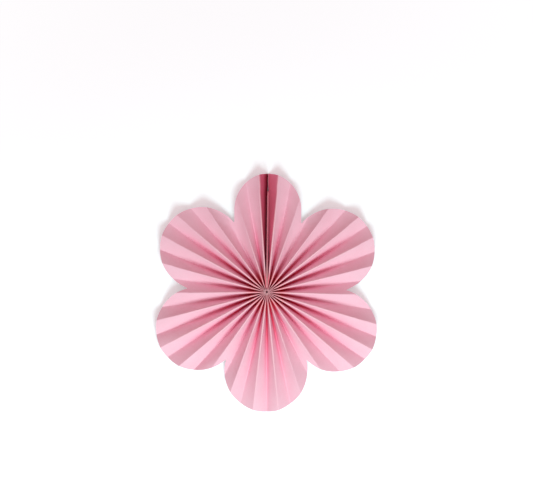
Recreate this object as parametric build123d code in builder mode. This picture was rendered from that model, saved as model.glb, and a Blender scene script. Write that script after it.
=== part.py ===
"""Paper fan rosette with six petals, lying on its back.

One long strip of paper is pleated, opened full circle about its inner ends and cut to six petals.
Its two end panels stand up side by side, glued on card stays that a tape joins, and a thread that
runs through every panel holds the hub.

Z points from the back folds to the front folds, the hub is on the Z axis at the origin, and the
joined ends of the strip lie along +Y. Azimuths are counted from +Y towards +X.
"""

import os
from collections import namedtuple
from math import asin, cos, hypot, pi, radians, sin, sqrt, tan

import numpy as np
from build123d import *

# Petals, seen from the front
petal_count = 6
tip_radius = 150.0
notch_radius = 98.4
seam_loss = 8.4  # degrees by which the petal at the seam is narrower than the others
seam_tip_radius = 148.0
seam_petal_width = 83.4
seam_crown_height = 45.0  # from where the petal at the seam is widest to its tip

# Pleats
pleat_width = 19.0  # paper from one fold to the next
rim_tilt = 31.3  # degrees from flat at which a panel ends at the rim
paper_thickness = 0.1
packing_gap = 0.03  # between two layers round the hub hole
seam_spread = 0.05  # share by which the pleats beside the seam open wider
spread_reach = 45.0  # degrees from the seam over which that fades
trim_share = 0.015  # blank left past the petals' edge before they are cut
lean_steps = 12  # flat spans in which a panel leans over from the hub to the rim

# Card stays on the two end panels
stay_thickness = 0.6
stay_margin = 0.5  # bare paper along each long edge of a card
stay_end_gap = 22.0  # from a card's outer end to the petal's tip
stay_corner = 3.0
flare_length = 0.5  # straight paper before and after a card
closing_length = 8.0  # in which the end panels come together past the cards

# Double-sided tape between the cards
tape_thickness = 0.2
tape_width = 12.0
tape_end_gap = 3.0  # bare card at each end of the tape

# Binding thread through the panels
thread_diameter = 0.4
thread_sides = 8
thread_ring_radius = 3.5
needle_clearance = 0.1
needle_sides = 24
knot_radius = 0.35
knot_clearance = 1.5  # from the knot to the cards
tail_length = 3.0

# Outline of the petals: round lobes through the tips and the notches between them, and at the
# seam a narrower petal with straight sides and an elliptical crown
petal_pitch = (2 * pi + radians(seam_loss)) / petal_count
notch_height = notch_radius * cos(petal_pitch / 2)
lobe_centre = (tip_radius**2 - notch_radius**2) / (2 * (tip_radius - notch_height))
lobe_radius = tip_radius - lobe_centre
core_radius = lobe_centre * cos(petal_pitch / 2)
crown_half = seam_petal_width / 2
crown_base = seam_tip_radius - seam_crown_height

# Levels, with the back folds at the hub on Z = 0
middle = (pleat_width + paper_thickness) / 2
half_paper = paper_thickness / 2

# The fin of end panels, cards and tape, from its middle plane outwards. Past the cards it closes
fin_half = tape_thickness / 2 + stay_thickness + half_paper
closed_half = half_paper + packing_gap / 2
stay_start = thread_ring_radius + knot_radius + knot_clearance
stay_end = seam_tip_radius - stay_end_gap

# A fold's points on the front and on the back of the paper: two on its crest, one in its hollow
Fold = namedtuple("Fold", "front back")


def spot(radius, azimuth):
    """A point in plan."""
    return Vector(radius * sin(azimuth), radius * cos(azimuth))


def lobe_azimuth(number):
    """Azimuth of a round lobe's middle. The petal at the seam would be number 0."""
    return petal_pitch * number - radians(seam_loss) / 2


def lobe_reach(azimuth):
    """Distance from the hub to the far side of the nearest round lobe, or 0 past its sides."""
    number = round((azimuth + radians(seam_loss) / 2) / petal_pitch)
    angle = azimuth - lobe_azimuth(min(max(number, 1), petal_count - 1))
    offset = lobe_centre * sin(angle)
    if abs(offset) >= lobe_radius:
        return 0
    return lobe_centre * cos(angle) + sqrt(lobe_radius**2 - offset**2)


def crown_reach(azimuth):
    """Distance from the hub to the crown or a straight side of the petal at the seam, else 0."""
    if cos(azimuth) <= 0:
        return 0
    across = sin(azimuth) / crown_half
    along = cos(azimuth) / seam_crown_height
    square = across**2 + along**2
    half_sum = along * crown_base / seam_crown_height
    under_root = half_sum**2 - square * ((crown_base / seam_crown_height) ** 2 - 1)
    reach = (half_sum + sqrt(max(under_root, 0))) / square
    if under_root >= 0 and reach * cos(azimuth) >= crown_base:
        return reach
    return 1 / abs(across)


def outline_reach(azimuth):
    """Distance from the hub to the petals' edge."""
    return max(core_radius, lobe_reach(azimuth), crown_reach(azimuth))


def rise(chord):
    """Height of a fold above or below the middle, where two folds are this far apart in plan."""
    return sqrt(pleat_width**2 - chord**2) / 2


def place_folds():
    """Azimuth of every fold: each panel opens equally far at its outer end, long or short.

    The first and last folds stand at the fin and keep their full depth, so the panels beside
    them are steeper and take a smaller share of the turn.
    """
    azimuths = np.linspace(0, 2 * pi, 3601)
    reach = np.array([outline_reach(azimuth) for azimuth in azimuths])
    from_seam = np.minimum(azimuths, 2 * pi - azimuths) / radians(spread_reach)
    opening = reach / (1 + seam_spread * np.exp(-(from_seam**2)))
    steps = (opening[1:] + opening[:-1]) / 2 * (azimuths[1] - azimuths[0])
    edge = np.concatenate(([0], np.cumsum(steps)))
    rim_chord = pleat_width * cos(radians(rim_tilt))
    fin_chord = sqrt(pleat_width**2 - (pleat_width / 2 + rise(rim_chord)) ** 2)
    fin_share = fin_chord / rim_chord
    panels = 2 * round(edge[-1] / rim_chord / 2)
    counts = [0] + [fin_share + fold for fold in range(panels - 1)] + [panels - 2 + 2 * fin_share]
    return np.interp(counts, edge / edge[-1] * counts[-1], azimuths)


fold_azimuth = place_folds()
fold_reach = [outline_reach(azimuth) for azimuth in fold_azimuth]
last_fold = len(fold_azimuth) - 1
hub_radius = (last_fold + 1) * (paper_thickness + packing_gap) / (2 * pi)


def fin_station(radius):
    """Share of a fold's length at a distance from the hub along the fin."""
    return (radius - hub_radius) / (fold_reach[0] - hub_radius)


flare_station = fin_station(stay_start - flare_length)
closing_station = fin_station(stay_end + flare_length)
closed_station = fin_station(stay_end + flare_length + closing_length)


def place_stations():
    """Shares of a fold's length at which the panels are bent, in equal steps of their lean.

    Past the cards, two steps are moved to where the fin starts to close and where it is closed.
    """
    rim_lean = pi / 2 - radians(rim_tilt)
    leans = [sin(rim_lean * step / lean_steps) / sin(rim_lean) for step in range(1, lean_steps)]
    nearest = min(range(len(leans) - 1), key=lambda step: abs(leans[step] - closing_station))
    leans[nearest:nearest + 2] = [closing_station, closed_station]
    return [0, flare_station] + leans + [1 + trim_share]


def fin_room(station):
    """Distance from the fin's middle plane to the middle of its paper."""
    still_open = (closed_station - station) / (closed_station - closing_station)
    return closed_half + (fin_half - closed_half) * max(min(still_open, 1), 0)


def plan_point(fold, station):
    """Radius and azimuth of a fold at a station, with room left for the fin."""
    radius = hub_radius + (fold_reach[fold] - hub_radius) * station
    if station == 0:
        return radius, 2 * pi * (fold + 0.5) / (last_fold + 1)
    fin_angle = asin(fin_room(station) / radius)
    return radius, fin_angle + fold_azimuth[fold] * (1 - fin_angle / pi)


def crest_half(lean):
    """Half the width of the flat crest that keeps the paper's thickness round a fold."""
    return half_paper * (1 - sin(lean)) / cos(lean)


def end_folds(base, along, lean, side):
    """The free edge and the fold of an end panel, which stands upright at one side of the fin."""
    level = base + Vector(0, 0, half_paper)
    free = level + Vector(0, 0, pleat_width)
    across = Vector(half_paper * side, 0, 0)
    hollow = level + along * half_paper + Vector(0, 0, half_paper / tan(lean / 2))
    crest = [base - across, base + along * crest_half(lean)]
    return Fold([free + across], [free - across]), Fold([hollow], crest)


def section(station):
    """All folds of the opened strip at one station, from one free edge to the other."""
    places = [plan_point(fold, station) for fold in range(last_fold + 1)]
    points = [spot(*place) for place in places]
    pairs = list(zip(places, places[1:]))
    chords = [(near[0] + far[0]) * sin((far[1] - near[1]) / 2) for near, far in pairs]
    alongs = [(far - near).normalized() for near, far in zip(points, points[1:])]

    # The panels beside the fin don't set the height of the folds that they share
    free_chords = [chords[1]] + chords[1:-1] + [chords[-2]]
    rises = [rise((before + after) / 2) for before, after in zip(free_chords, free_chords[1:])]
    rises = [pleat_width / 2] + rises + [pleat_width / 2]
    leans = [asin(chord / hypot(chord, rises[i] + rises[i + 1])) for i, chord in enumerate(chords)]

    edge, fold = end_folds(points[0], alongs[0], leans[0], 1)
    folds = [edge, fold]
    for number in range(1, last_fold):
        side = 1 if number % 2 else -1
        lean = (leans[number - 1] + leans[number]) / 2
        crest_level = middle + side * (rises[number] + half_paper)
        hollow_level = middle + side * (rises[number] - half_paper / sin(lean))
        crest = points[number] + Vector(0, 0, crest_level)
        hollow = [points[number] + Vector(0, 0, hollow_level)]
        half = crest_half(lean)
        pair = [crest - alongs[number - 1] * half, crest + alongs[number] * half]
        folds.append(Fold(pair, hollow) if side > 0 else Fold(hollow, pair))
    edge, fold = end_folds(points[-1], -alongs[-1], leans[-1], -1)
    return folds + [Fold(fold.front, fold.back[::-1]), edge]


def facet(*corners):
    """A flat triangle of paper."""
    return Face(Wire.make_polygon(corners))


def split_quad(inner_near, inner_far, outer_far, outer_near):
    """A twisted four-cornered span, bent along its diagonal from inner_near to outer_far."""
    return [facet(inner_near, inner_far, outer_far), facet(inner_near, outer_far, outer_near)]


def cut_edge(folds):
    """The paper's cut edge across one section."""
    facets = []
    for near, far in zip(folds, folds[1:]):
        facets += split_quad(near.front[-1], far.front[0], far.back[0], near.back[-1])
    for fold in folds:
        if len(fold.front) == 2:
            facets.append(facet(*fold.front, fold.back[0]))
        if len(fold.back) == 2:
            facets.append(facet(fold.front[0], *fold.back[::-1]))
    return facets


def skins(inner, outer):
    """Front, back and free edges of the paper between two sections."""
    facets = []
    for side in ("front", "back"):
        inner_chain = [point for fold in inner for point in getattr(fold, side)]
        outer_chain = [point for fold in outer for point in getattr(fold, side)]
        for i in range(1, len(inner_chain)):
            facets += split_quad(inner_chain[i - 1], inner_chain[i], outer_chain[i], outer_chain[i - 1])
    for end in (0, -1):
        facets += split_quad(inner[end].front[0], inner[end].back[0], outer[end].back[0], outer[end].front[0])
    return facets


# Petals in plan
with BuildSketch(Plane.XY.offset(-pleat_width)) as petals:
    Circle(core_radius)
    with Locations([spot(lobe_centre, lobe_azimuth(number)) for number in range(1, petal_count)]):
        Circle(lobe_radius)
    with Locations((0, crown_base)):
        Ellipse(crown_half, seam_crown_height)
    Rectangle(seam_petal_width, crown_base, align=(Align.CENTER, Align.MIN))

# The ring-shaped way that the needle makes through the panels
needle_half = thread_diameter / 2 + needle_clearance
with BuildSketch(Plane.XY.offset(middle - needle_half)) as needle_way:
    RegularPolygon(thread_ring_radius + needle_half, needle_sides, major_radius=False)
    RegularPolygon(thread_ring_radius - needle_half, needle_sides, mode=Mode.SUBTRACT)

# The pleated strip, opened, cut to its petals and pierced
sections = [section(station) for station in place_stations()]
paper_facets = cut_edge(sections[0]) + cut_edge(sections[-1])
for inner_section, outer_section in zip(sections, sections[1:]):
    paper_facets += skins(inner_section, outer_section)

with BuildPart() as pleated_sheet:
    add(Solid(Shell(paper_facets)))
    extrude(petals.sketch, amount=3 * pleat_width, mode=Mode.INTERSECT, clean=False)
    extrude(needle_way.sketch, amount=2 * needle_half, mode=Mode.SUBTRACT, clean=False)

# The card stays, each glued on the inner face of its end panel
stay_length = stay_end - stay_start
stay_width = pleat_width - 2 * stay_margin

with BuildPart() as right_stay:
    with BuildSketch(Plane.YZ.offset(tape_thickness / 2)) as card:
        with Locations((stay_start + stay_length / 2, middle)):
            Rectangle(stay_length, stay_width)
        fillet(card.vertices().group_by(Axis.Y)[-1], stay_corner)
    extrude(amount=stay_thickness)

with BuildPart() as left_stay:
    mirror(right_stay.part, about=Plane.YZ)

# The tape that joins the two cards
with BuildPart() as seam_tape:
    with Locations((0, stay_start + stay_length / 2, middle)):
        Box(tape_thickness, stay_length - 2 * tape_end_gap, tape_width)

# The thread's ring, its knot between the two end panels, and its cut ends
with BuildPart() as binding_thread:
    with BuildSketch(Plane.XZ) as thread_section:
        with Locations((thread_ring_radius, middle)):
            RegularPolygon(thread_diameter / 2, thread_sides)
    revolve(axis=Axis.Z)
    with Locations((0, thread_ring_radius, middle)):
        Sphere(knot_radius)
        Cylinder(thread_diameter / 2, 2 * tail_length)

os.makedirs("parts", exist_ok=True)

pleated_sheet.part.label = "pleated_sheet"
export_step(pleated_sheet.part, "parts/pleated_sheet.step")

left_stay.part.label = "left_stay"
export_step(left_stay.part, "parts/left_stay.step")

right_stay.part.label = "right_stay"
export_step(right_stay.part, "parts/right_stay.step")

seam_tape.part.label = "seam_tape"
export_step(seam_tape.part, "parts/seam_tape.step")

binding_thread.part.label = "binding_thread"
export_step(binding_thread.part, "parts/binding_thread.step")
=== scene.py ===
"""Looks of a paper fan rosette with six petals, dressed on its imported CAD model.

Lengths are in metres and angles in radians. Z points from the back folds to the front folds, the
hub is on the Z axis at the origin and the joined ends of the strip lie along +Y. Azimuths are
counted from +Y towards +X.
"""

import logging
import math
from dataclasses import dataclass
from enum import Enum
from functools import cached_property
from typing import Union

import bpy
import numpy as np
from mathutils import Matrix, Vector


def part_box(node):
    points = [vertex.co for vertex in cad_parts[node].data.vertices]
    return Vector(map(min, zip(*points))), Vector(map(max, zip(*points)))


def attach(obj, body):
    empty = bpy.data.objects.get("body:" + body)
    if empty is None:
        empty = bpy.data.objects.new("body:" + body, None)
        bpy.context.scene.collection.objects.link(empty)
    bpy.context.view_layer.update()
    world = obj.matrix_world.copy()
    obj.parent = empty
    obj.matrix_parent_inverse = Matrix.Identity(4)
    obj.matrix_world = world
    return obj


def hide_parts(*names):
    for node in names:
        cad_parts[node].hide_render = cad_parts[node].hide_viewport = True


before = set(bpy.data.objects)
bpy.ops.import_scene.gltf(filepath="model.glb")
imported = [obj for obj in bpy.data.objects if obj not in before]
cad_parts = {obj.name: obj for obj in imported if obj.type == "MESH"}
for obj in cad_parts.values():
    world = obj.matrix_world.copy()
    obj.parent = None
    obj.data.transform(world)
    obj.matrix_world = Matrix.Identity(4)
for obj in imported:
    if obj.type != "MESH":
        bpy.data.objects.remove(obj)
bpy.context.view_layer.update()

log = logging.getLogger("paper_fan")

Triple = tuple[float, float, float]
Colour = Triple
Range = tuple[float, float]
Value = Union[float, Triple, "Socket"]

ALL_AXES: Triple = (1.0, 1.0, 1.0)
LEVEL: Triple = (1.0, 1.0, 0.0)
UPWARD: Triple = (0.0, 0.0, 1.0)
WHITE: Colour = (1.0, 1.0, 1.0)
NOISE_ROUGHNESS = 0.6
TINY = 1e-12


class Socket:
    """An output of a shader node that takes part in sums and products."""

    def __init__(self, shader: "Shader", output: bpy.types.NodeSocket) -> None:
        """Keeps the output and the shader that it belongs to."""
        self.shader = shader
        self.output = output

    def math(self, operation: str, first: Value, second: Value) -> "Socket":
        """One Math node on two values."""
        return self.shader.node("ShaderNodeMath", {"operation": operation}, {0: first, 1: second})

    def __add__(self, other: Value) -> "Socket":
        """The sum."""
        return self.math("ADD", self, other)

    def __radd__(self, other: Value) -> "Socket":
        """The sum, with the number first."""
        return self.math("ADD", other, self)

    def __sub__(self, other: Value) -> "Socket":
        """The difference."""
        return self.math("SUBTRACT", self, other)

    def __rsub__(self, other: Value) -> "Socket":
        """The difference, with the number first."""
        return self.math("SUBTRACT", other, self)

    def __mul__(self, other: Value) -> "Socket":
        """The product."""
        return self.math("MULTIPLY", self, other)

    def __rmul__(self, other: Value) -> "Socket":
        """The product, with the number first."""
        return self.math("MULTIPLY", other, self)

    def between(self, low: float, high: float) -> "Socket":
        """0 below low, 1 above high and a smooth step between."""
        limits = {"Value": self, "From Min": low, "From Max": high}
        return self.shader.node("ShaderNodeMapRange", {"interpolation_type": "SMOOTHSTEP"}, limits)


class Shader:
    """The node tree of a material or of the world, built with calls of one method."""

    def __init__(self, owner: bpy.types.Material | bpy.types.World) -> None:
        """Empties the owner's tree.

        Args:
            owner: the material or world whose tree it is.
        """
        owner.use_nodes = True
        self.owner = owner
        self.tree = owner.node_tree
        self.tree.nodes.clear()

    def node(
        self,
        kind: str,
        settings: dict[str, object] | None = None,
        inputs: dict[str | int, Value] | None = None,
        output: str | int = 0,
    ) -> Socket | None:
        """Adds a node.

        Args:
            kind: Blender's name of the node type.
            settings: its properties, set before its sockets.
            inputs: values or links of its sockets, by name or by number.
            output: name or number of the output to go on with.

        Returns:
            That output, or None for a node that has none.
        """
        node = self.tree.nodes.new(kind)
        for name, value in (settings or {}).items():
            setattr(node, name, value)
        for name, value in (inputs or {}).items():
            socket = node.inputs[name]
            if isinstance(value, Socket):
                self.tree.links.new(value.output, socket)
            elif socket.type == "RGBA":
                socket.default_value = (*value, 1.0)
            else:
                socket.default_value = value
        return Socket(self, node.outputs[output]) if node.outputs else None

    def place(self, scale: Triple = ALL_AXES) -> Socket:
        """The point's place on the piece, with each axis scaled."""
        spot = self.node("ShaderNodeTexCoord", output="Object")
        return self.node("ShaderNodeVectorMath", {"operation": "MULTIPLY"}, {0: spot, 1: scale})

    def distance(self, axes: Triple) -> Socket:
        """The point's distance from the origin along the axes that are 1."""
        settings = {"operation": "LENGTH"}
        return self.node("ShaderNodeVectorMath", settings, {0: self.place(axes)}, "Value")

    def attribute(self, name: str) -> Socket:
        """A number that the mesh carries at each point."""
        return self.node("ShaderNodeAttribute", {"attribute_name": name}, None, "Fac")

    def noise(self, cells: Triple, detail: float = 4.0) -> Socket:
        """Smooth noise between 0 and 1 with so many cells to the metre along each axis."""
        inputs = {"Vector": self.place(cells), "Scale": 1.0, "Detail": detail, "Roughness": NOISE_ROUGHNESS}
        return self.node("ShaderNodeTexNoise", None, inputs)

    def mix(self, share: Value, first: Value, second: Value, way: str = "MIX") -> Socket:
        """The first colour with a share of the second, by a Mix node's colour sockets 6 and 7, out at 2."""
        settings = {"data_type": "RGBA", "blend_type": way}
        return self.node("ShaderNodeMix", settings, {0: share, 6: first, 7: second}, 2)

    def relief(self, height: Socket, depth: float) -> Socket:
        """A normal for a height between 0 and 1 that stands this far proud."""
        return self.node("ShaderNodeBump", None, {"Height": height, "Distance": depth}, "Normal")

    def principled(self, inputs: dict[str | int, Value]) -> bpy.types.Material:
        """Closes a material's tree with a Principled shader.

        Args:
            inputs: values or links of its sockets.

        Returns:
            The material.
        """
        skin = self.node("ShaderNodeBsdfPrincipled", None, inputs)
        self.node("ShaderNodeOutputMaterial", None, {"Surface": skin})
        return self.owner


def evenly(cells: float) -> Triple:
    """The same number of cells to the metre along every axis."""
    return (cells, cells, cells)


@dataclass(frozen=True)
class PaperFinish:
    """Uncoated pink paper with painted shade and highlights in its folds, rubbed pale where packed.

    A range says where a smooth step starts and ends, on noise or on a mark of the mesh. A reach
    says the same in metres from the hub.
    """

    face: Colour = (0.94, 0.615, 0.71)
    cloud: Colour = (0.92, 0.555, 0.655)
    cloud_cells: float = 55.0
    cloud_range: Range = (0.35, 0.7)
    cloud_share: float = 0.4
    # painted shade: the paper darkens and reddens deep in a fold, the more the narrower the fold
    deep: Colour = (1.0, 0.33, 0.51)
    fold_shade_range: Range = (0.1, 0.8)
    deepest_fold_shade: Colour = (1.0, 0.012, 0.085)
    deepest_fold_shade_range: Range = (0.48, 0.9)
    # painted highlight on the fold crests near the hub, partly crease wear
    crest_wear_and_highlight: Colour = (1.0, 0.66, 0.70)
    crest_share: float = 0.9
    # painted shadow of the fin on the panel left of it, darkest at its foot, and painted shade on the panel
    # right of it, paler near the hub
    left_fin_shadow: Colour = (0.74, 0.15, 0.25)
    right_fin_shade_inside: Colour = (1.0, 0.38, 0.54)
    right_fin_shade_outside: Colour = (0.83, 0.26, 0.38)
    right_fin_shade_reach: Range = (0.06, 0.115)
    fin_shade_range: Range = (0.0, 0.4)
    fin_foot_shadow: Colour = (0.42, 0.01, 0.05)
    foot_shadow_range: Range = (0.5, 0.98)
    # painted shade towards the hub, weaker on the crests, so the packed grooves there go dark
    hub: Colour = (1.0, 0.09, 0.13)
    hub_shade_reach: Range = (0.014, 0.032)
    hub_shade_share: float = 0.65
    hub_shade_on_crest: float = 0.4
    worn: Colour = (0.98, 0.62, 0.64)
    worn_reach: Range = (0.0030, 0.0050)
    worn_least: float = 0.6
    # painted shade in the hub hole, dark crimson within 1.8 mm of the axis
    hole: Colour = (0.30, 0.02, 0.04)
    hole_shade_reach: Range = (0.0012, 0.0018)
    cut: Colour = (0.98, 0.83, 0.89)
    fibre_cells: float = 1500.0
    fibre_detail: float = 5.0
    fibre_range: Range = (0.4, 0.75)
    fibre_shade: Colour = (1.0, 0.90, 0.90)
    fibre_depth: float = 0.00002
    roughness: float = 0.78
    fibre_roughness: float = 0.15
    specular: float = 0.06

    def folds(self, paper: Shader, from_hub: Socket) -> Socket:
        """Clouds the paper, then paints shade by how deep a point lies in a narrow fold and beside the fin.

        Args:
            paper: the material's shader.
            from_hub: distance from the hub.

        Returns:
            The colour.
        """
        clouds = paper.noise(evenly(self.cloud_cells)).between(*self.cloud_range)
        colour = paper.mix(clouds * self.cloud_share, self.face, self.cloud)
        # painted shade in the narrow folds, by the depth mark
        depth = paper.attribute("depth")
        colour = paper.mix(depth.between(*self.fold_shade_range), colour, self.deep)
        colour = paper.mix(depth.between(*self.deepest_fold_shade_range), colour, self.deepest_fold_shade)
        # painted shadow left of the fin and painted shade right of it
        left, right = paper.attribute("left_fin_shadow"), paper.attribute("right_fin_shade")
        colour = paper.mix(left.between(*self.fin_shade_range), colour, self.left_fin_shadow)
        colour = paper.mix(left.between(*self.foot_shadow_range), colour, self.fin_foot_shadow)
        right_shade = paper.mix(from_hub.between(*self.right_fin_shade_reach), self.right_fin_shade_inside, self.right_fin_shade_outside)
        return paper.mix(right.between(*self.fin_shade_range), colour, right_shade)

    def centre(self, paper: Shader, colour: Socket, from_hub: Socket, fibres: Socket) -> Socket:
        """Paints highlights on the crests, partly crease wear, paints shade towards the hub, wears the hub
        and paints shade in its hole.

        Args:
            paper: the material's shader.
            colour: the paper's colour so far.
            from_hub: distance from the hub.
            fibres: noise of the fibres.

        Returns:
            The colour.
        """
        # painted highlight on the crests, partly crease wear
        crest_wear_and_highlight = paper.attribute("crest_wear_and_highlight")
        colour = paper.mix(crest_wear_and_highlight * self.crest_share, colour, self.crest_wear_and_highlight)
        # painted shade towards the hub, weaker on the crests
        near_hub = 1.0 - from_hub.between(*self.hub_shade_reach)
        hub_shade = near_hub * self.hub_shade_share * (1.0 - crest_wear_and_highlight * (1.0 - self.hub_shade_on_crest))
        colour = paper.mix(hub_shade, colour, self.hub)
        rubbed = fibres * (1.0 - self.worn_least) + self.worn_least
        colour = paper.mix((1.0 - from_hub.between(*self.worn_reach)) * rubbed, colour, self.worn)
        # painted shade in the hub hole
        return paper.mix(1.0 - from_hub.between(*self.hole_shade_reach), colour, self.hole)

    def material(self) -> bpy.types.Material:
        """Colours the paper with its painted shade and highlights, pales its cut edges and roughens it with
        fibres.

        Returns:
            The material.
        """
        paper = Shader(bpy.data.materials.new("pink_paper"))
        fibres = paper.noise(evenly(self.fibre_cells), self.fibre_detail)
        from_hub = paper.distance(LEVEL)
        colour = self.centre(paper, self.folds(paper, from_hub), from_hub, fibres)
        colour = paper.mix(paper.attribute("cut"), colour, self.cut)
        colour = paper.mix(fibres.between(*self.fibre_range), colour, self.fibre_shade, "MULTIPLY")
        return paper.principled(
            {
                "Base Color": colour,
                "Roughness": fibres * self.fibre_roughness + self.roughness,
                "Specular IOR Level": self.specular,
                "Normal": paper.relief(fibres, self.fibre_depth),
            }
        )


@dataclass(frozen=True)
class BoardFinish:
    """Pinkish grey board of pressed plies with flecks of pulp, darker and redder further out along it."""

    pulp: Colour = (0.95, 0.55, 0.56)
    fleck: Colour = (1.0, 0.68, 0.67)
    fleck_cells: float = 2200.0
    fleck_range: Range = (0.45, 0.72)
    fleck_polish: float = 0.1
    # darker red that the card takes further out along +Y
    rubbed: Colour = (0.76, 0.19, 0.27)
    outward_red_reach: Range = (0.020, 0.045)
    outward_red_share: float = 0.9
    seam: Colour = (0.50, 0.16, 0.19)
    seam_range: Range = (0.35, 0.0)
    seam_share: float = 0.4
    seam_wander: float = 0.6
    seam_detail: float = 2.0
    plies: int = 3
    thickness: float = 0.0006
    fibre_cells: float = 6000.0
    fibre_stretch: float = 0.12
    fibre_range: Range = (0.35, 0.75)
    fibre_share: float = 0.25
    fibre_depth: float = 0.00004
    roughness: float = 0.95
    specular: float = 0.2

    def material(self) -> bpy.types.Material:
        """Flecks the board, darkens and reddens it further out along +Y and darkens its fibres and the seams
        between its plies.

        A wave texture of scale 1 repeats every tenth of pi, so its scale is that over a ply.

        Returns:
            The material.
        """
        board = Shader(bpy.data.materials.new("greyboard"))
        flecks = board.noise(evenly(self.fleck_cells)).between(*self.fleck_range)
        along = self.fibre_cells * self.fibre_stretch
        fibres = board.noise((self.fibre_cells, along, self.fibre_cells))
        bands = {"wave_type": "BANDS", "bands_direction": "X", "wave_profile": "SIN"}
        turns = self.plies / self.thickness * math.pi / 10.0
        wander = {"Distortion": self.seam_wander, "Detail": self.seam_detail}
        inputs = {"Vector": board.place(), "Scale": turns} | wander
        seams = board.node("ShaderNodeTexWave", bands, inputs, "Fac").between(*self.seam_range)
        colour = board.mix(flecks, self.pulp, self.fleck)
        outward = board.distance((0.0, 1.0, 0.0)).between(*self.outward_red_reach)
        colour = board.mix(outward * self.outward_red_share, colour, self.rubbed)
        colour = board.mix(seams * self.seam_share, colour, self.seam)
        colour = board.mix(fibres.between(*self.fibre_range) * self.fibre_share, colour, self.seam)
        return board.principled(
            {
                "Base Color": colour,
                "Roughness": self.roughness - flecks * self.fleck_polish,
                "Specular IOR Level": self.specular,
                "Normal": board.relief(fibres, self.fibre_depth),
            }
        )


@dataclass(frozen=True)
class TapeFinish:
    """Off-white film with tacky faces, slightly yellow where the adhesive is thick."""

    film: Colour = (0.78, 0.74, 0.66)
    adhesive: Colour = (0.70, 0.60, 0.42)
    adhesive_range: Range = (0.4, 0.7)
    streak_cells: Triple = (900.0, 60.0, 900.0)
    streak_detail: float = 3.0
    streak_depth: float = 0.00002
    roughness: float = 0.3
    streak_roughness: float = 0.25
    specular: float = 0.5

    def material(self) -> bpy.types.Material:
        """Streaks the film along its length.

        Returns:
            The material.
        """
        tape = Shader(bpy.data.materials.new("tape"))
        streaks = tape.noise(self.streak_cells, self.streak_detail)
        colour = tape.mix(streaks.between(*self.adhesive_range), self.film, self.adhesive)
        return tape.principled(
            {
                "Base Color": colour,
                "Roughness": self.roughness + streaks * self.streak_roughness,
                "Specular IOR Level": self.specular,
                "Normal": tape.relief(streaks, self.streak_depth),
            }
        )


@dataclass(frozen=True)
class ThreadFinish:
    """Undyed cotton, matte, with a soft shine along its fibres."""

    cotton: Colour = (0.80, 0.74, 0.66)
    shade: Colour = (0.55, 0.47, 0.40)
    shade_range: Range = (0.4, 0.7)
    fibre_cells: float = 9000.0
    fibre_depth: float = 0.00002
    roughness: float = 0.75
    fibre_roughness: float = 0.2
    sheen: float = 0.4
    specular: float = 0.2

    def material(self) -> bpy.types.Material:
        """Shades the cotton between its fibres.

        Returns:
            The material.
        """
        thread = Shader(bpy.data.materials.new("thread"))
        fibres = thread.noise(evenly(self.fibre_cells))
        colour = thread.mix(fibres.between(*self.shade_range), self.cotton, self.shade)
        return thread.principled(
            {
                "Base Color": colour,
                "Roughness": fibres * self.fibre_roughness + self.roughness,
                "Sheen Weight": self.sheen,
                "Specular IOR Level": self.specular,
                "Normal": thread.relief(fibres, self.fibre_depth),
            }
        )


def grid_quads(rows: int, columns: int, around: bool = False, first: int = 0) -> np.ndarray:
    """Quads of a grid whose points are numbered row by row.

    Args:
        rows: number of rows of points.
        columns: number of points in a row.
        around: whether each row closes on itself.
        first: number of the grid's first point.

    Returns:
        Four point numbers to a quad, turned so that its normal is column direction cross row direction.
    """
    near = np.arange(columns if around else columns - 1)
    far = (near + 1) % columns
    low = np.arange(rows - 1)[:, None] * columns + first
    quads = np.stack([low + near, low + far, low + columns + far, low + columns + near], axis=-1)
    return quads.reshape(-1, 4)


def strip_quads(near: np.ndarray, far: np.ndarray) -> np.ndarray:
    """Quads between two equally long rows of point numbers."""
    return np.stack([near[:-1], near[1:], far[1:], far[:-1]], axis=-1)


def make_piece(
    name: str,
    points: np.ndarray,
    quads: np.ndarray,
    caps: tuple[np.ndarray, ...] = (),
    rims: np.ndarray | None = None,
    marks: dict[str, np.ndarray] | None = None,
) -> bpy.types.Object:
    """Puts a surface into a smooth-shaded mesh.

    Args:
        name: the piece's name.
        points: three numbers to a point.
        quads: four point numbers to a face.
        caps: larger faces, each a row of point numbers.
        rims: a number for each point; edges between equal numbers above 0 stay sharp.
        marks: attributes, with a number for each point.

    Returns:
        The piece, at the origin.
    """
    corners = np.concatenate([quads.ravel(), *caps])
    sizes = np.concatenate([np.full(len(quads), 4), [len(cap) for cap in caps]]).astype(int)
    mesh = bpy.data.meshes.new(name)
    mesh.vertices.add(len(points))
    mesh.vertices.foreach_set("co", points.astype(np.float32).ravel())
    mesh.loops.add(len(corners))
    mesh.polygons.add(len(sizes))
    mesh.polygons.foreach_set("loop_start", np.cumsum(sizes) - sizes)
    mesh.polygons.foreach_set("vertices", corners)
    mesh.polygons.foreach_set("use_smooth", np.ones(len(sizes), bool))
    mesh.update(calc_edges=True)
    if rims is not None:
        ends = np.empty(len(mesh.edges) * 2, int)
        mesh.edges.foreach_get("vertices", ends)
        labels = rims[ends.reshape(-1, 2)]
        mesh.edges.foreach_set("use_edge_sharp", (labels[:, 0] == labels[:, 1]) & (labels[:, 0] > 0))
    for mark, values in (marks or {}).items():
        layer = mesh.attributes.new(mark, "FLOAT", "POINT")
        layer.data.foreach_set("value", values.astype(np.float32).ravel())
    piece = bpy.data.objects.new(name, mesh)
    bpy.context.scene.collection.objects.link(piece)
    return piece


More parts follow.
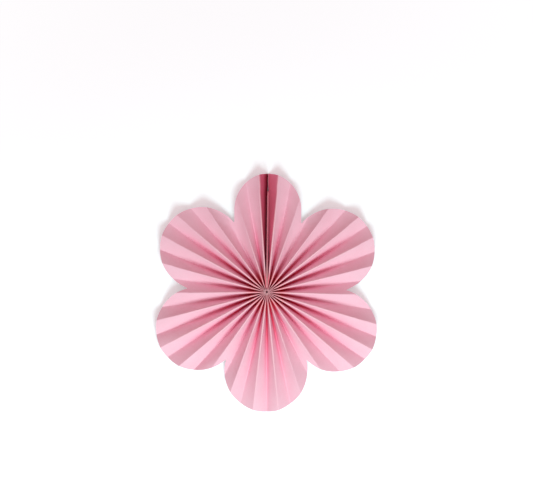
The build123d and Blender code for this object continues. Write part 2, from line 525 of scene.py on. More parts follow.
def dress(piece: bpy.types.Object, material: bpy.types.Material, node: str) -> None:
    """Gives a piece its finish and puts it in place of its CAD node.

    Args:
        piece: the piece.
        material: its finish.
        node: the CAD node that it replaces.
    """
    piece.data.materials.append(material)
    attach(piece, "root")
    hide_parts(node)
    log.info("%s: %d points, %d faces", piece.name, len(piece.data.vertices), len(piece.data.polygons))


def unit(vectors: np.ndarray) -> np.ndarray:
    """The same vectors, one long."""
    return vectors / np.maximum(np.linalg.norm(vectors, axis=-1, keepdims=True), TINY)


@dataclass(frozen=True)
class FanPlan:
    """The strip's lines as they lie in the opened fan, and the petals' outline.

    The lines are numbered in the order of their azimuth. The first and the last are the strip's
    free edges, which stand up at the fin. The others are folds: even ones are ridges, seen from the
    front, and odd ones are valleys.
    """

    petal_count: int = 6
    tip_radius: float = 0.150
    notch_radius: float = 0.0984
    seam_loss: float = math.radians(8.4)
    seam_tip_radius: float = 0.148
    seam_petal_width: float = 0.0834
    seam_crown_height: float = 0.045
    edge_steps: int = 3600
    pleat_width: float = 0.019
    rim_tilt: float = math.radians(31.3)
    paper_thickness: float = 0.0001
    packing_gap: float = 0.00003
    seam_spread: float = 0.05
    spread_reach: float = math.radians(45.0)
    fin_half: float = 0.00075
    flare_radius: float = 0.00485
    closing_radius: float = 0.1265
    closed_radius: float = 0.1345
    unevenness: float = math.radians(0.3)
    left_lean: float = math.radians(0.5)
    level_unevenness: float = 0.0007
    level_waves: tuple[float, float] = (4.0, 9.0)
    seed: int = 7

    @cached_property
    def petal_pitch(self) -> float:
        """Angle from one petal to the next."""
        return (2.0 * math.pi + self.seam_loss) / self.petal_count

    @cached_property
    def lobe_centre(self) -> float:
        """Distance from the hub to the middle of a petal's round lobe."""
        height = self.notch_radius * math.cos(self.petal_pitch / 2.0)
        return (self.tip_radius**2 - self.notch_radius**2) / (2.0 * (self.tip_radius - height))

    @cached_property
    def lobe_radius(self) -> float:
        """Radius of a petal's round lobe."""
        return self.tip_radius - self.lobe_centre

    @cached_property
    def notch_azimuths(self) -> np.ndarray:
        """Azimuths of the notches, even but for the two beside the petal at the seam.

        Those two are where that petal's straight sides meet its neighbours' round lobes.

        Returns:
            One azimuth for each notch.
        """
        azimuths = self.petal_pitch * (np.arange(self.petal_count) + 0.5) - self.seam_loss / 2.0
        first_lobe = self.petal_pitch - self.seam_loss / 2.0
        side = self.seam_petal_width / 2.0
        inward = self.lobe_centre * math.sin(first_lobe) - side
        height = self.lobe_centre * math.cos(first_lobe) + math.sqrt(self.lobe_radius**2 - inward**2)
        azimuths[0] = math.atan2(side, height)
        azimuths[-1] = 2.0 * math.pi - azimuths[0]
        return azimuths

    def lobe_reach(self, azimuth: np.ndarray) -> np.ndarray:
        """How far rays from the hub reach to the far side of the nearest petal's round lobe.

        A lobe is a circle, and a ray leaves it half a chord past the place nearest its middle.

        Args:
            azimuth: the rays' azimuths.

        Returns:
            Distances from the hub, or 0 past the lobe's sides.
        """
        number = np.rint((azimuth + self.seam_loss / 2.0) / self.petal_pitch)
        number = np.clip(number, 1, self.petal_count - 1)
        angle = azimuth - (self.petal_pitch * number - self.seam_loss / 2.0)
        offset = self.lobe_centre * np.sin(angle)
        half_chord = np.sqrt(np.maximum(self.lobe_radius**2 - offset**2, 0.0))
        reach = self.lobe_centre * np.cos(angle) + half_chord
        return np.where(np.abs(offset) < self.lobe_radius, reach, 0.0)

    def crown_reach(self, azimuth: np.ndarray) -> np.ndarray:
        """How far rays from the hub reach to the edge of the petal at the seam.

        That petal has straight sides and half an ellipse for its crown. A ray leaves the ellipse
        at the larger root of a quadratic equation.

        Args:
            azimuth: the rays' azimuths.

        Returns:
            Distances from the hub, or 0 behind it.
        """
        base = self.seam_tip_radius - self.seam_crown_height
        across = np.sin(azimuth) / (self.seam_petal_width / 2.0)
        along = np.cos(azimuth) / self.seam_crown_height
        square = across**2 + along**2
        half_sum = along * base / self.seam_crown_height
        under_root = half_sum**2 - square * ((base / self.seam_crown_height) ** 2 - 1.0)
        crown = (half_sum + np.sqrt(np.maximum(under_root, 0.0))) / square
        sides = 1.0 / np.maximum(np.abs(across), TINY)
        on_crown = (under_root >= 0.0) & (crown * np.cos(azimuth) >= base)
        return np.where(np.cos(azimuth) > 0.0, np.where(on_crown, crown, sides), 0.0)

    def outline_reach(self, azimuth: np.ndarray) -> np.ndarray:
        """Distance from the hub to the petals' edge."""
        core = self.lobe_centre * math.cos(self.petal_pitch / 2.0)
        return np.maximum(np.maximum(self.lobe_reach(azimuth), self.crown_reach(azimuth)), core)

    def rise(self, chord: np.ndarray) -> np.ndarray:
        """Height of a fold off the middle, where two folds are this far apart in plan."""
        return np.sqrt(self.pleat_width**2 - chord**2) / 2.0

    @cached_property
    def even_azimuths(self) -> np.ndarray:
        """Azimuths of the folds: each panel opens equally far at its outer end, long or short.

        The petals' edge is added up in small steps round the hub, a little more slowly near the
        seam, and shared out. The panels beside the fin rise from its foot and take less.

        Returns:
            One azimuth for each fold.
        """
        azimuths = np.linspace(0.0, 2.0 * math.pi, self.edge_steps + 1)
        from_seam = np.minimum(azimuths, 2.0 * math.pi - azimuths) / self.spread_reach
        opening = self.outline_reach(azimuths) / (1.0 + self.seam_spread * np.exp(-(from_seam**2)))
        steps = (opening[1:] + opening[:-1]) / 2.0 * (azimuths[1] - azimuths[0])
        edge = np.concatenate(([0.0], np.cumsum(steps)))
        rim_chord = self.pleat_width * math.cos(self.rim_tilt)
        fin_height = self.pleat_width / 2.0 + float(self.rise(np.array(rim_chord)))
        fin_share = math.sqrt(self.pleat_width**2 - fin_height**2) / rim_chord
        panels = 2 * round(edge[-1] / rim_chord / 2.0)
        inner = fin_share + np.arange(panels - 1)
        counts = np.concatenate(([0.0], inner, [panels - 2 + 2.0 * fin_share]))
        return np.interp(counts, edge / edge[-1] * counts[-1], azimuths)

    @cached_property
    def fold_azimuths(self) -> np.ndarray:
        """The folds' azimuths with the slight unevenness of a fan opened by hand.

        The fin's feet and the ridge right of it stay in place, and the ridge left of it leans.

        Returns:
            One azimuth for each fold.
        """
        shifts = np.random.default_rng(self.seed).normal(0.0, self.unevenness, len(self.even_azimuths))
        shifts[[0, 1, -1]] = 0.0
        shifts[-2] = self.left_lean
        return self.even_azimuths + shifts

    @cached_property
    def last_line(self) -> int:
        """Number of the strip's last line."""
        return len(self.even_azimuths) + 1

    @cached_property
    def hub_radius(self) -> float:
        """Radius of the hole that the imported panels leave."""
        layers = len(self.even_azimuths)
        return layers * (self.paper_thickness + self.packing_gap) / (2.0 * math.pi)

    def fin_share(self, radius: float) -> float:
        """Share of a line's length at a distance from the hub along the fin."""
        return (radius - self.hub_radius) / (self.seam_tip_radius - self.hub_radius)

    def fin_room(self, share: np.ndarray) -> np.ndarray:
        """Distance from the fin's middle plane to the middle of its paper, which closes past the cards.

        Args:
            share: shares of a line's length, from the hub out.

        Returns:
            The distances.
        """
        closed = (self.paper_thickness + self.packing_gap) / 2.0
        start, end = self.fin_share(self.closing_radius), self.fin_share(self.closed_radius)
        still_open = np.clip((end - share) / (end - start), 0.0, 1.0)
        return closed + (self.fin_half - closed) * still_open

    def spot(self, line: np.ndarray, share: np.ndarray) -> np.ndarray:
        """Place of a line in plan.

        Outside the flare a line runs straight out from the hub at its azimuth, set back by the
        room that the fin takes. Inside, it runs straight from its evenly spaced place on the hub
        hole to its place at the flare.

        Args:
            line: numbers of lines.
            share: shares of their length, from the hub out.

        Returns:
            X and Y.
        """
        fold = np.clip(line - 1, 0, self.last_line - 2)
        azimuth = self.fold_azimuths[fold]
        length = self.outline_reach(self.even_azimuths[fold]) - self.hub_radius
        flare = self.fin_share(self.flare_radius)
        radius = self.hub_radius + length * np.maximum(share, flare)
        fin_angle = np.arcsin(self.fin_room(share) / radius)
        azimuth = fin_angle + azimuth * (1.0 - fin_angle / math.pi)
        outer = radius[..., None] * np.stack([np.sin(azimuth), np.cos(azimuth)], axis=-1)
        packed = 2.0 * math.pi * (fold + 0.5) / (self.last_line - 1)
        inner = self.hub_radius * np.stack([np.sin(packed), np.cos(packed)], axis=-1)
        flared = np.clip(share / flare, 0.0, 1.0)[..., None]
        return inner * (1.0 - flared) + outer * flared

    def chord(self, line: np.ndarray, share: np.ndarray) -> np.ndarray:
        """Chord across the panel after a line, where the fin and the panels beside it take the next's.

        Args:
            line: numbers of lines.
            share: shares of their length, from the hub out.

        Returns:
            The mean distance of both lines from the hub times twice the sine of half their angle.
        """
        first = np.clip(line, 2, self.last_line - 3)
        near, far = self.spot(first, share), self.spot(first + 1, share)
        turned = near[..., 1] * far[..., 0] - near[..., 0] * far[..., 1]
        angle = np.arctan2(turned, (near * far).sum(axis=-1))
        radii = np.linalg.norm(near, axis=-1) + np.linalg.norm(far, axis=-1)
        return radii * np.sin(angle / 2.0)

    def point(self, line: np.ndarray, share: np.ndarray) -> np.ndarray:
        """Place of a line in the opened fan.

        A fold stands off the middle level by half the height of a panel whose width is kept and
        whose chord is the mean of its neighbours'. The fin's folds and free edges are level.

        Args:
            line: numbers of lines.
            share: shares of their length, from the hub out.

        Returns:
            X, Y and Z of the middle of the paper.
        """
        line = np.clip(line, 0, self.last_line)
        line, share = np.broadcast_arrays(line, share)
        half = self.paper_thickness / 2.0
        chord = (self.chord(line - 1, share) + self.chord(line, share)) / 2.0
        side = np.where(line % 2 == 0, 1.0, -1.0)
        level = self.pleat_width / 2.0 + half + side * self.rise(chord) + self.sway(line, share, chord)
        from_end = np.minimum(line, self.last_line - line)
        level = np.where(from_end == 1, half, level)
        level = np.where(from_end == 0, half + self.pleat_width, level)
        return np.concatenate([self.spot(line, share), level[..., None]], axis=-1)

    def sway(self, line: np.ndarray, share: np.ndarray, chord: np.ndarray) -> np.ndarray:
        """How far a line is off its level: slow waves along it, which grow as the fan opens.

        Args:
            line: numbers of lines.
            share: shares of their length, from the hub out.
            chord: chords across the panels there.

        Returns:
            Heights above the level.
        """
        draw = np.random.default_rng(self.seed + 1)
        waves = np.zeros(np.shape(chord))
        for number, turns in enumerate(self.level_waves):
            phase = draw.uniform(0.0, 2.0 * math.pi, self.last_line + 1)
            size = draw.normal(0.0, 1.0 / (number + 1), self.last_line + 1)
            waves = waves + size[line] * np.sin(turns * share + phase[line])
        return self.level_unevenness * waves * (chord / self.pleat_width) ** 2


@dataclass(frozen=True)
class PleatedSheet:
    """The pleated strip's paper: rounded folds, soft bulges in its panels and a clean cut edge."""

    plan: FanPlan = FanPlan()
    spans_per_half: int = 9
    rows: int = 50
    row_crowding: float = 1.5
    edge_lip: float = 0.0005
    outline_passes: int = 6
    crease: float = 0.0005
    bulb: float = 0.0008
    bulb_peak: float = 0.0011
    least_peak: float = 0.25
    bulb_room: float = 0.43
    hub_room: float = 0.9
    hub_chord: float = 0.00045
    bow: float = 0.0009
    bow_waves: int = 3
    bow_turns: float = 4.0
    open_factor: float = 1.1
    crest_width: float = 0.0009
    fin_shade_at_ridge: float = 0.2
    free_edge_mark: float = 0.4
    crest_reach: Range = (0.018, 0.030)
    seed: int = 11

    def places(self) -> np.ndarray:
        """Places across the strip, crowded beside the folds, with one at every notch.

        Half a panel's places follow a parabola from its fold, and the other half mirrors them.

        Returns:
            The places, counted in panels.
        """
        half = 0.5 * (np.arange(self.spans_per_half) / self.spans_per_half) ** 2
        panel = np.concatenate([half, [0.5], 1.0 - half[:0:-1]])
        panels = np.arange(self.plan.last_line)[:, None]
        places = np.append((panels + panel).ravel(), self.plan.last_line)
        reach = self.spot(places, np.ones(len(places)))
        azimuths = np.arctan2(reach[:, 0], reach[:, 1]) % (2.0 * math.pi)
        notches = np.interp(self.plan.notch_azimuths, azimuths, places)
        between = np.flatnonzero(places % 1.0 > 0.0)
        nearest = between[np.abs(places[between][:, None] - notches).argmin(axis=0)]
        places[nearest] = notches
        return places

    def spot(self, places: np.ndarray, share: np.ndarray) -> np.ndarray:
        """Place in plan of points on the straight lines from fold to fold.

        Args:
            places: places across the strip, in panels.
            share: shares of the lines' length.

        Returns:
            X and Y.
        """
        line = np.minimum(places.astype(int), self.plan.last_line - 1)
        part = (places - line)[..., None]
        return self.plan.spot(line, share) * (1.0 - part) + self.plan.spot(line + 1, share) * part

    def ends(self, places: np.ndarray) -> np.ndarray:
        """Where the petals' outline cuts each place's line out from the hub.

        A few passes each scale the share by the wanted distance over the one that it gives.

        Args:
            places: places across the strip, in panels.

        Returns:
            Shares of the lines' length.
        """
        share = np.ones(len(places))
        for _ in range(self.outline_passes):
            spot = self.spot(places, share)
            azimuth = np.arctan2(spot[:, 0], spot[:, 1]) % (2.0 * math.pi)
            share = share * self.plan.outline_reach(azimuth) / np.linalg.norm(spot, axis=1)
        return share

    def shares(self) -> np.ndarray:
        """Shares of the way from the hub to the edge, crowded at the hub, with a lip at the edge."""
        inner = np.linspace(0.0, 1.0, self.rows - 1) ** self.row_crowding
        return np.append(inner * (1.0 - self.edge_lip / self.plan.tip_radius), 1.0)

    def bulge(self, line: np.ndarray, share: np.ndarray, part: np.ndarray, chord: np.ndarray) -> np.ndarray:
        """How far a panel bows out of its plane: a few waves along it, nothing at its folds.

        Args:
            line: number of the line before each place.
            share: shares of the lines' length.
            part: share of the way from that line to the next.
            chord: chord across the panel.

        Returns:
            Distances out of the plane, nothing in the fin.
        """
        draw = np.random.default_rng(self.seed)
        waves = np.zeros(np.broadcast_shapes(line.shape, share.shape))
        for number in range(self.bow_waves):
            phase = draw.uniform(0.0, 2.0 * math.pi, self.plan.last_line)
            tune = draw.normal(0.0, 1.0 / (number + 1), self.plan.last_line)
            waves = waves + tune[line] * np.sin((number + 1) * self.bow_turns * share + phase[line])
        fin = np.where((line == 0) | (line == self.plan.last_line - 1), 0.0, 1.0)
        return fin * self.bow * waves * np.sin(math.pi * part) * (chord / self.plan.pleat_width) ** 2

    def bulb_shift(self, offset: np.ndarray, turn: np.ndarray, chord: np.ndarray) -> np.ndarray:
        """How far paper stands off its fold's plane: the bulb's width times x exp(1 - x).

        Here x is the distance from the fold over that of the bulb's peak. The sharper the fold, the
        wider its bulb, by the fourth power of half the turn. Where the neighbours leave less room,
        the bulb and its reach along the panel shrink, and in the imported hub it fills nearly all
        its room.

        Args:
            offset: distance along the panel from the nearest fold, below 0 before it.
            turn: change of the panels' direction at that fold.
            chord: distance from fold to fold.

        Returns:
            Distances across the fold.
        """
        upright = (np.linalg.norm(turn, axis=-1) / 2.0) ** 4
        packed = np.exp(-((chord / self.hub_chord) ** 2))
        fill = self.bulb_room + (self.hub_room - self.bulb_room) * packed
        room = np.maximum(fill * chord - self.plan.paper_thickness / 2.0, 0.0)
        full_width = np.maximum(self.bulb * upright, TINY)
        width = np.minimum(full_width, room)
        peak = self.bulb_peak * np.clip(width / full_width, self.least_peak, 1.0)
        away = np.abs(offset)
        return width * (away / peak * np.exp(1.0 - away / peak) * np.sign(offset))

    def middle(self, places: np.ndarray, share: np.ndarray) -> np.ndarray:
        """The middle of the paper.

        Each panel is straight from line to line. Within a crease's length of a fold the two panels
        blend along a parabola, beside the fold they stand apart in a bulb, and each panel bows
        out of its plane in slow waves.

        Args:
            places: places across the strip, in panels.
            share: shares of the lines' length, one row for each row of the grid.

        Returns:
            The points, row by row.
        """
        plan = self.plan
        line = np.minimum(places.astype(int), plan.last_line - 1)
        part = places - line
        start, end = plan.point(line, share), plan.point(line + 1, share)
        points = start * (1.0 - part[:, None]) + end * part[:, None]

        nearest = np.rint(places).astype(int)
        offset = (places - nearest) * plan.pleat_width
        corner = plan.point(nearest, share)
        before, after = plan.point(nearest - 1, share), plan.point(nearest + 1, share)
        turn = unit(after - corner) - unit(corner - before)
        from_crease = np.maximum(self.crease - np.abs(offset), 0.0)
        folded = (nearest > 0) & (nearest < plan.last_line)
        rounding = np.where(folded, from_crease**2 / (4.0 * self.crease), 0.0)
        points = points + turn * rounding[:, None]

        chord = plan.chord(line, share)
        across = unit((after - before) * LEVEL)
        free = (nearest > 1) & (nearest < plan.last_line - 1)
        shift = np.where(free, self.bulb_shift(offset, turn, chord), 0.0)
        points = points + across * shift[..., None]

        slope = unit(end - start)
        run = np.linalg.norm(slope[..., :2], axis=-1)[..., None]
        outward = run * UPWARD - unit(slope * LEVEL) * slope[..., 2:]
        return points + outward * self.bulge(line, share, part, chord)[..., None]

    def marks(self, places: np.ndarray, share: np.ndarray, middle: np.ndarray) -> dict[str, np.ndarray]:
        """Marks each point for the finish: painted shade in folds and by the fin, ridge highlights, cuts.

        A panel's depth, which carries painted shade, runs from 0 at the fold that stands towards
        that face to 1 at the other, and fades as the fan opens, half as fast in the two panels on
        each side of the seam. Near the hub the ridges beside the fin get no painted highlight.

        Args:
            places: places across the strip, in panels.
            share: shares of the lines' length, row by row.
            middle: the middle of the paper.

        Returns:
            Numbers for the points of the front and then for those of the back, by the mark's name.
        """
        plan = self.plan
        line = np.minimum(places.astype(int), plan.last_line - 1)
        from_valley = np.where(line % 2 == 1, places - line, 1.0 - (places - line))
        right, left = line < 2, line > plan.last_line - 3
        opening = np.linalg.norm(plan.spot(line + 1, share) - plan.spot(line, share), axis=-1)
        opening = np.where(right | left, opening / 2.0, opening)
        narrow = np.maximum(1.0 - self.open_factor * opening / plan.pleat_width, 0.0)

        from_fin_ridge = np.minimum(np.abs(places - 2), np.abs(places - plan.last_line + 2))
        start, end = self.crest_reach
        past_hub = np.clip((np.linalg.norm(middle[..., :2], axis=-1) - start) / (end - start), 0.0, 1.0)
        # the crests' painted highlight, which the ridges beside the fin lack near the hub
        crest_wear_and_highlight = narrow * np.where(from_fin_ridge < 0.5, past_hub, 1.0)

        # painted shadow and shade beside the fin: strongest at its foot, fading towards the ridge
        fin_shade = self.fin_shade_at_ridge + (1.0 - self.fin_shade_at_ridge) * (1.0 - from_valley)
        cut = np.zeros(share.shape)
        cut[:, [0, -1]] = self.free_edge_mark
        cut[-1] = 1.0
        nothing = np.zeros(share.shape)
        faces = (1.0 - from_valley, from_valley)
        # depth carries painted shade, strongest deep in a narrow fold
        pairs = {
            "depth": [deep * narrow for deep in faces],
            "crest_wear_and_highlight": [crest_wear_and_highlight * np.exp(-((deep * plan.pleat_width / self.crest_width) ** 2)) for deep in faces],
            "right_fin_shade": [nothing + np.where(right, fin_shade, 0.0), nothing],
            "left_fin_shadow": [nothing + np.where(left, fin_shade, 0.0), nothing],
            "cut": [cut, cut],
        }
        return {name: np.stack(pair).ravel() for name, pair in pairs.items()}

    def shape(self) -> bpy.types.Object:
        """Thickens the middle surface to both sides and closes its edges.

        Returns:
            The piece.
        """
        places = self.places()
        share = self.shares()[:, None] * self.ends(places)
        middle = self.middle(places, share)
        rows, columns = share.shape
        across = np.gradient(middle, places, axis=1)
        outward = np.gradient(middle, axis=0)
        normals = unit(np.cross(across, outward)) * self.plan.paper_thickness / 2.0
        points = np.concatenate([(middle + normals).reshape(-1, 3), (middle - normals).reshape(-1, 3)])

        front = np.arange(rows * columns).reshape(rows, columns)
        back = front + rows * columns
        quads = [
            grid_quads(rows, columns),
            grid_quads(rows, columns, first=rows * columns)[:, ::-1],
            strip_quads(front[-1], back[-1]),
            strip_quads(back[0], front[0]),
            strip_quads(back[:, -1], front[:, -1]),
            strip_quads(front[:, 0], back[:, 0]),
        ]
        border = np.zeros((rows, columns), int)
        border[[0, -1]] = 1
        border[:, [0, -1]] = 1
        rims = np.concatenate([border.ravel(), border.ravel() * 2])
        marks = self.marks(places, share, middle)
        return make_piece("pleated_paper", points, np.concatenate(quads), rims=rims, marks=marks)

    def build(self) -> None:
        """Shapes the sheet and dresses it in paper."""
        dress(self.shape(), PaperFinish().material(), "pleated_sheet")


class Side(Enum):
    """The two sides of the joined ends, seen from the front."""

    LEFT = "left"
    RIGHT = "right"


@dataclass(frozen=True)
class CutSlab:
    """A thin piece cut from layered stock, standing on its long edge along +Y."""

    name: str
    node: str
    corner: float
    layers: int
    groove: float
    wander: float
    seed: int
    rings: int = 17
    points_around: int = 400
    corner_points: int = 12
    groove_sharpness: int = 8
    softening: float = 0.00006
    softening_sharpness: int = 12

    def outline(self, low: np.ndarray, high: np.ndarray) -> np.ndarray:
        """The slab's outline in Y and Z: a rectangle whose outer corners are quarter circles.

        Args:
            low: lowest corner of the slab.
            high: highest corner of the slab.

        Returns:
            Evenly spaced points, anticlockwise from the inner lower corner.
        """
        turn = np.linspace(0.0, math.pi / 2.0, self.corner_points)
        arc = self.corner * np.stack([np.sin(turn), 1.0 - np.cos(turn)], axis=-1)
        lower = np.array([high[1] - self.corner, low[2]]) + arc
        upper = np.array([high[1] - self.corner, high[2]]) + arc[::-1] * [1.0, -1.0]
        path = np.vstack([[low[1:]], lower, upper, [[low[1], high[2]]], [low[1:]]])
        length = np.concatenate([[0.0], np.cumsum(np.linalg.norm(np.diff(path, axis=0), axis=1))])
        even = np.linspace(0.0, length[-1], self.points_around, endpoint=False)
        return np.stack([np.interp(even, length, path[:, axis]) for axis in (0, 1)], axis=-1)

    def shape(self) -> bpy.types.Object:
        """Carries the outline through the thickness.

        It is drawn in at the grooves between the layers by a high power of a cosine, at both faces
        by a high power of the distance from the middle, and unevenly by the wander of the blade.

        Returns:
            The piece.
        """
        low, high = (np.array(corner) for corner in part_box(self.node))
        outline = self.outline(low, high)
        along = unit(np.roll(outline, -1, axis=0) - np.roll(outline, 1, axis=0))
        outward = np.stack([along[:, 1], -along[:, 0]], axis=-1)
        depth = np.linspace(0.0, 1.0, self.rings)
        inset = self.groove * np.cos(math.pi * self.layers * depth) ** self.groove_sharpness
        inset = inset + self.softening * (2.0 * np.abs(depth - 0.5)) ** self.softening_sharpness
        noise = np.random.default_rng(self.seed).uniform(0.0, self.wander, (self.rings, len(outline)))
        inset = inset[:, None] + (noise + np.roll(noise, 1, axis=1)) / 2.0
        flat = outline - outward * inset[..., None]
        level = np.broadcast_to((low[0] + (high[0] - low[0]) * depth)[:, None, None], (*inset.shape, 1))
        points = np.concatenate([level, flat], axis=-1).reshape(-1, 3)
        quads = grid_quads(self.rings, len(outline), around=True)
        numbers = np.arange(len(points)).reshape(self.rings, -1)
        rims = np.zeros(numbers.shape, int)
        rims[0], rims[-1] = 1, 2
        return make_piece(self.name, points, quads, (numbers[0][::-1], numbers[-1]), rims.ravel())


@dataclass(frozen=True)
class JoinedEnds:
    """The strip's joined ends: a card on each end panel and the tape between the cards."""

    card_corner: float = 0.003
    card_plies: int = 3
    card_groove: float = 0.00003
    card_wander: float = 0.00003
    card_seed: int = 21
    tape_corner: float = 0.0005
    tape_layers: int = 2
    tape_groove: float = 0.00001
    tape_wander: float = 0.00004
    tape_rings: int = 7
    tape_seed: int = 31

    def build(self) -> None:
        """Cuts both cards and the tape and dresses them."""
        board = BoardFinish(plies=self.card_plies).material()
        for number, side in enumerate(Side):
            card = CutSlab(
                name=f"{side.value}_card",
                node=f"{side.value}_stay",
                corner=self.card_corner,
                layers=self.card_plies,
                groove=self.card_groove,
                wander=self.card_wander,
                seed=self.card_seed + number,
            )
            dress(card.shape(), board, card.node)
        tape = CutSlab(
            name="joining_tape",
            node="seam_tape",
            corner=self.tape_corner,
            layers=self.tape_layers,
            groove=self.tape_groove,
            wander=self.tape_wander,
            seed=self.tape_seed,
            rings=self.tape_rings,
        )
        dress(tape.shape(), TapeFinish().material(), tape.node)


@dataclass(frozen=True)
class BindingThread:
    """Cotton of twisted strands: a ring through all panels, a knot and two frayed tails."""

    ring_radius: float = 0.0035
    thickness: float = 0.0004
    strands: int = 3
    strand_spread: float = 0.536
    sides: int = 8
    ring_points: int = 360
    ring_turns: int = 18
    knot_reach: float = 0.00026
    knot_waist: float = 0.42
    knot_depth: float = 0.55
    knot_squeeze: float = 0.7
    knot_points: int = 144
    knot_turns: int = 9
    tail_bend: float = 0.00025
    tail_points: int = 60
    tail_turns: int = 3
    fray_from: float = 0.75
    fray: float = 1.2

    def twist(
        self, path: np.ndarray, outward: np.ndarray, turns: int, spread: np.ndarray, closed: bool
    ) -> tuple[np.ndarray, np.ndarray, tuple[np.ndarray, ...]]:
        """Strands wound about a path.

        Each strand's middle circles the path, and its skin is a small circle carried along it.
        Three strands that touch each other have the thread's radius over 1 + 2 / sqrt(3).

        Args:
            path: points along the thread's middle.
            outward: a direction at each point that isn't along the path.
            turns: how often the strands wind about it.
            spread: the strands' distance from the middle at each point.
            closed: whether the path ends where it starts.

        Returns:
            Points, quads and end caps.
        """
        count = len(path)
        if closed:
            along = unit(np.roll(path, -1, axis=0) - np.roll(path, 1, axis=0))
        else:
            along = unit(np.gradient(path, axis=0))
        binormal = unit(np.cross(along, outward))
        normal = np.cross(binormal, along)
        strand_radius = self.thickness / 2.0 / (1.0 + 2.0 / math.sqrt(3.0))
        step = np.arange(count) / (count if closed else count - 1)
        points, quads, caps = [], [], []
        for strand in range(self.strands):
            angle = 2.0 * math.pi * (turns * step + strand / self.strands)[:, None]
            middle = path + (normal * np.cos(angle) + binormal * np.sin(angle)) * spread[:, None]
            turn = (2.0 * math.pi * np.arange(self.sides) / self.sides)[None, :, None]
            ring = normal[:, None] * np.cos(turn) + binormal[:, None] * np.sin(turn)
            skin = middle[:, None] + ring * strand_radius
            first = strand * count * self.sides
            rows = count + 1 if closed else count
            numbers = grid_quads(rows, self.sides, around=True)
            quads.append(numbers[:, ::-1] % (count * self.sides) + first)
            points.append(skin.reshape(-1, 3))
            if not closed:
                caps.append(np.arange(self.sides) + first)
                caps.append((np.arange(self.sides) + (count - 1) * self.sides)[::-1] + first)
        return np.concatenate(points), np.concatenate(quads), tuple(caps)

    def shape(self) -> bpy.types.Object:
        """Winds the ring and the tails, ties the knot and joins them.

        The knot's middle is a trefoil: an upright ring walked round twice, while its radius and
        its distance from the hub each swing three times.

        Returns:
            The piece.
        """
        low, high = (np.array(corner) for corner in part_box("binding_thread"))
        level = (low[2] + high[2]) / 2.0
        spread = self.thickness / 2.0 * self.strand_spread

        turn = np.linspace(0.0, 2.0 * math.pi, self.ring_points, endpoint=False)
        radial = np.stack([np.sin(turn), np.cos(turn), np.zeros(len(turn))], axis=-1)
        ring = radial * self.ring_radius + [0.0, 0.0, level]
        parts = [self.twist(ring, radial, self.ring_turns, np.full(len(turn), spread), True)]

        turn = np.linspace(0.0, 2.0 * math.pi, self.knot_points, endpoint=False)
        loop = 1.0 + self.knot_waist * np.cos(3.0 * turn)
        swing = self.knot_depth * np.sin(3.0 * turn)
        trefoil = np.stack([loop * np.cos(2.0 * turn), swing, loop * np.sin(2.0 * turn)], axis=-1)
        knot = np.array([0.0, self.ring_radius, level])
        tight = np.full(len(turn), spread * self.knot_squeeze)
        parts.append(self.twist(knot + trefoil * self.knot_reach, trefoil, self.knot_turns, tight, True))

        step = np.linspace(0.0, 1.0, self.tail_points)
        frayed = spread * (1.0 + self.fray * np.maximum(step - self.fray_from, 0.0) / (1.0 - self.fray_from))
        sideways = np.tile([1.0, 0.0, 0.0], (len(step), 1))
        for end, bend in ((high[2], self.tail_bend), (low[2], -self.tail_bend)):
            reach = (end - level - math.copysign(self.thickness / 2.0, end - level)) * step
            tail = np.stack([bend * np.sin(math.pi * step), bend * step**2, reach], axis=-1)
            parts.append(self.twist(knot + tail, sideways, self.tail_turns, frayed, False))

        points, quads, caps, first = [], [], [], 0
        for part_points, part_quads, part_caps in parts:
            points.append(part_points)
            quads.append(part_quads + first)
            caps += [cap + first for cap in part_caps]
            first += len(part_points)
        return make_piece("cotton_thread", np.concatenate(points), np.concatenate(quads), tuple(caps))

    def build(self) -> None:
        """Shapes the thread and dresses it in cotton."""
        dress(self.shape(), ThreadFinish().material(), "binding_thread")


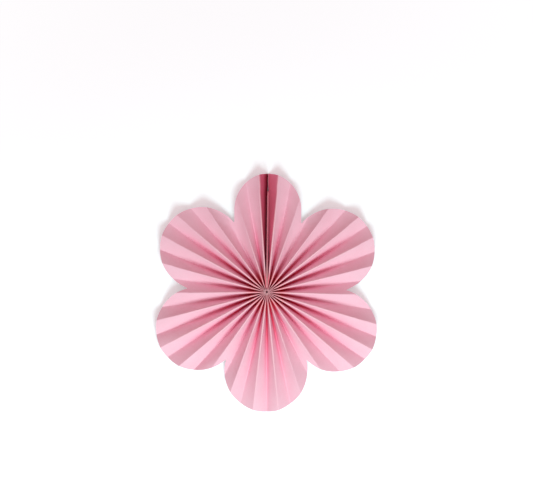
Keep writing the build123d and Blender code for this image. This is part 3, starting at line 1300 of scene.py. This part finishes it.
@dataclass(frozen=True)
class Studio:
    """Camera, lamp, soft surrounding light and pale floor."""

    picture_width: float = 533.0
    picture_height: float = 501.0
    hub_column: float = 266.8
    hub_row: float = 291.7
    pixel: float = 0.001254
    roll: float = math.radians(0.7)
    height: float = 2.6
    sensor: float = 36.0
    view_depth: float = 50.0
    lamp_azimuth: float = math.radians(-80.0)
    lamp_elevation: float = math.radians(48.0)
    lamp_distance: float = 0.9
    lamp_size: float = 0.5
    lamp_level: float = 0.72
    lamp: Colour = (0.74, 1.0, 1.0)
    sky_level: float = 0.55
    sky: Colour = (1.0, 0.66, 0.695)
    floor_size: float = 6.0
    floor_drop: float = 0.0001
    floor: Colour = (0.88, 1.0, 1.0)
    floor_glow: Colour = (0.33, 0.33, 0.33)
    far_glow: Colour = (0.53, 0.64, 0.62)
    far_reach: Range = (0.18, 1.0)
    glow_reach: Range = (0.07, 0.095)
    fin_gap: Range = (0.0015, 0.003)
    past_fin: Range = (0.147, 0.149)

    def camera(self) -> None:
        """Puts the camera straight above the middle of the picture, with +Y up but for a slight roll."""
        right = (self.picture_width / 2.0 - self.hub_column) * self.pixel
        up = (self.hub_row - self.picture_height / 2.0) * self.pixel
        lens = bpy.data.cameras.new("camera")
        lens.sensor_fit = "HORIZONTAL"
        lens.sensor_width = self.sensor
        lens.lens = self.sensor * self.height / (self.picture_width * self.pixel)
        lens.clip_end = self.view_depth
        camera = bpy.data.objects.new("camera", lens)
        cosine, sine = math.cos(self.roll), math.sin(self.roll)
        camera.location = (right * cosine - up * sine, right * sine + up * cosine, self.height)
        camera.rotation_euler = (0.0, 0.0, self.roll)
        bpy.context.scene.collection.objects.link(camera)
        bpy.context.scene.camera = camera

    def key_light(self) -> None:
        """Hangs one soft lamp below the picture.

        Its power follows from its level: a white surface that faces it shows that level.
        """
        lamp = bpy.data.lights.new("key_lamp", "AREA")
        lamp.shape = "DISK"
        lamp.size = self.lamp_size
        lamp.energy = self.lamp_level * (math.pi * self.lamp_distance) ** 2
        lamp.color = self.lamp
        key = bpy.data.objects.new("key_lamp", lamp)
        flat = self.lamp_distance * math.cos(self.lamp_elevation)
        key.location = (
            flat * math.cos(self.lamp_azimuth),
            flat * math.sin(self.lamp_azimuth),
            self.lamp_distance * math.sin(self.lamp_elevation),
        )
        key.rotation_euler = (math.pi / 2.0 - self.lamp_elevation, 0.0, self.lamp_azimuth + math.pi / 2.0)
        bpy.context.scene.collection.objects.link(key)

    def surroundings(self) -> None:
        """Fills the rest with light from all around, where the camera and reflections see white."""
        world = bpy.data.worlds.new("studio")
        bpy.context.scene.world = world
        sky = Shader(world)
        seen = sky.node("ShaderNodeLightPath", output="Is Camera Ray")
        for ray in ("Is Glossy Ray", "Is Transmission Ray"):
            seen = seen.math("MAXIMUM", seen, sky.node("ShaderNodeLightPath", output=ray))
        fill = sky.node("ShaderNodeBackground", None, {"Color": self.sky, "Strength": self.sky_level})
        wall = sky.node("ShaderNodeBackground", None, {"Color": WHITE, "Strength": 1.0})
        both = sky.node("ShaderNodeMixShader", None, {0: seen, 1: fill, 2: wall})
        sky.node("ShaderNodeOutputWorld", None, {"Surface": both})

    def ground(self) -> None:
        """Lays a pale floor under the fan that still takes its shadow.

        It glows for the camera alone, and not where the hub hole and the fin's slit would show it.
        """
        half = self.floor_size / 2.0
        side = np.linspace(-half, half, 2)
        east, north = np.meshgrid(side, side)
        points = np.stack([east, north, np.full_like(east, -self.floor_drop)], axis=-1).reshape(-1, 3)
        floor = make_piece("floor", points, grid_quads(2, 2))
        pale = Shader(bpy.data.materials.new("floor"))
        seen = pale.node("ShaderNodeLightPath", output="Is Camera Ray")
        from_hub = pale.distance(LEVEL)
        beside_fin = pale.distance((1.0, 0.0, 0.0)).between(*self.fin_gap)
        clear = from_hub.between(*self.glow_reach) * beside_fin
        clear = clear.math("MAXIMUM", clear, from_hub.between(*self.past_fin))
        shine = pale.mix(from_hub.between(*self.far_reach), self.floor_glow, self.far_glow)
        glow = pale.node("ShaderNodeEmission", None, {"Color": shine, "Strength": 1.0})
        matt = pale.node("ShaderNodeBsdfDiffuse", None, {"Color": self.floor})
        lit = pale.node("ShaderNodeAddShader", None, {0: matt, 1: glow})
        both = pale.node("ShaderNodeMixShader", None, {0: seen * clear, 1: matt, 2: lit})
        pale.node("ShaderNodeOutputMaterial", None, {"Surface": both})
        floor.data.materials.append(pale.owner)

    def build(self) -> None:
        """Sets up camera, lamp, surroundings and floor."""
        self.camera()
        self.key_light()
        self.surroundings()
        self.ground()


def main() -> None:
    """Builds the studio and every piece of the fan in turn."""
    logging.basicConfig(level=logging.INFO, format="%(name)s: %(message)s")
    bpy.context.scene.view_settings.view_transform = "Standard"
    for part in (Studio(), PleatedSheet(), JoinedEnds(), BindingThread()):
        part.build()
        log.info("%s is in place", type(part).__name__)


if __name__ == "__main__":
    main()
